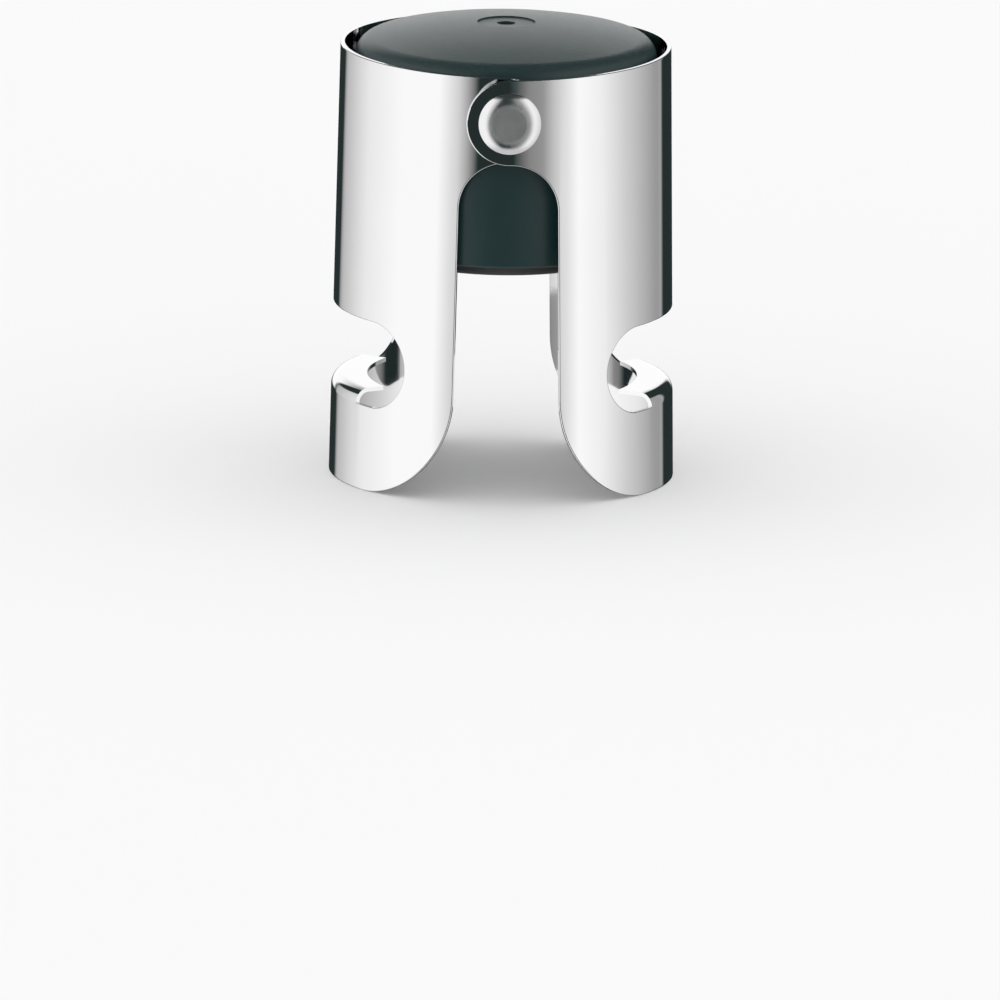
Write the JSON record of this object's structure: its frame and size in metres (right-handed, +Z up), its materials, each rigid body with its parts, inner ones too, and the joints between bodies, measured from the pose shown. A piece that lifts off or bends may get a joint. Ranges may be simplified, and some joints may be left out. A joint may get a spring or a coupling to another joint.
{
  "type": "champagne stopper",
  "caption": "Bottle stopper for sparkling wine: two polished sheet wings hinged on a black domed cup hook under the bottle's ring against a sprung rubber seal.",
  "frame": {"origin": "on the surface it stands on, under the middle of the stopper", "axes": "+Z up through the cup, -Y towards the front hinge pin, +X towards the right wing"},
  "size_m": [0.0416, 0.0436, 0.0554],
  "materials": {
    "polished_steel": "polished",
    "satin_steel": "satin",
    "spring_steel": "satin",
    "black_plastic": "satin",
    "washer_plastic": "satin",
    "seal_rubber": "matte"
  },
  "bodies": {
    "cup": {"cap_body": "black_plastic", "front_pivot_pin": "satin_steel", "rear_pivot_pin": "satin_steel", "front_ear_washer": "washer_plastic", "rear_ear_washer": "washer_plastic", "retaining_ring": "black_plastic", "seal_spring": "spring_steel"},
    "left_wing": {"left_shell": "polished_steel"},
    "right_wing": {"right_shell": "polished_steel"},
    "seal_carrier": {"seal_plunger": "black_plastic", "seal": "seal_rubber"}
  },
  "joints": [
    {"name": "left_wing_hinge", "type": "hinge", "parent": "cup", "child": "left_wing", "pos_m": [0, 0, 0.04723], "axis": [0, 1, 0], "range_deg": [0, 45]},
    {"name": "right_wing_hinge", "type": "hinge", "parent": "cup", "child": "right_wing", "pos_m": [0, 0, 0.04723], "axis": [0, -1, 0], "range_deg": [0, 45]},
    {"name": "seal_slide", "type": "slide", "parent": "cup", "child": "seal_carrier", "axis": [0, 0, 1], "range_m": [0, 0.003], "stiffness_N_per_m": 8000, "springref_m": -0.003, "deforming": ["seal_spring"]}
  ]
}
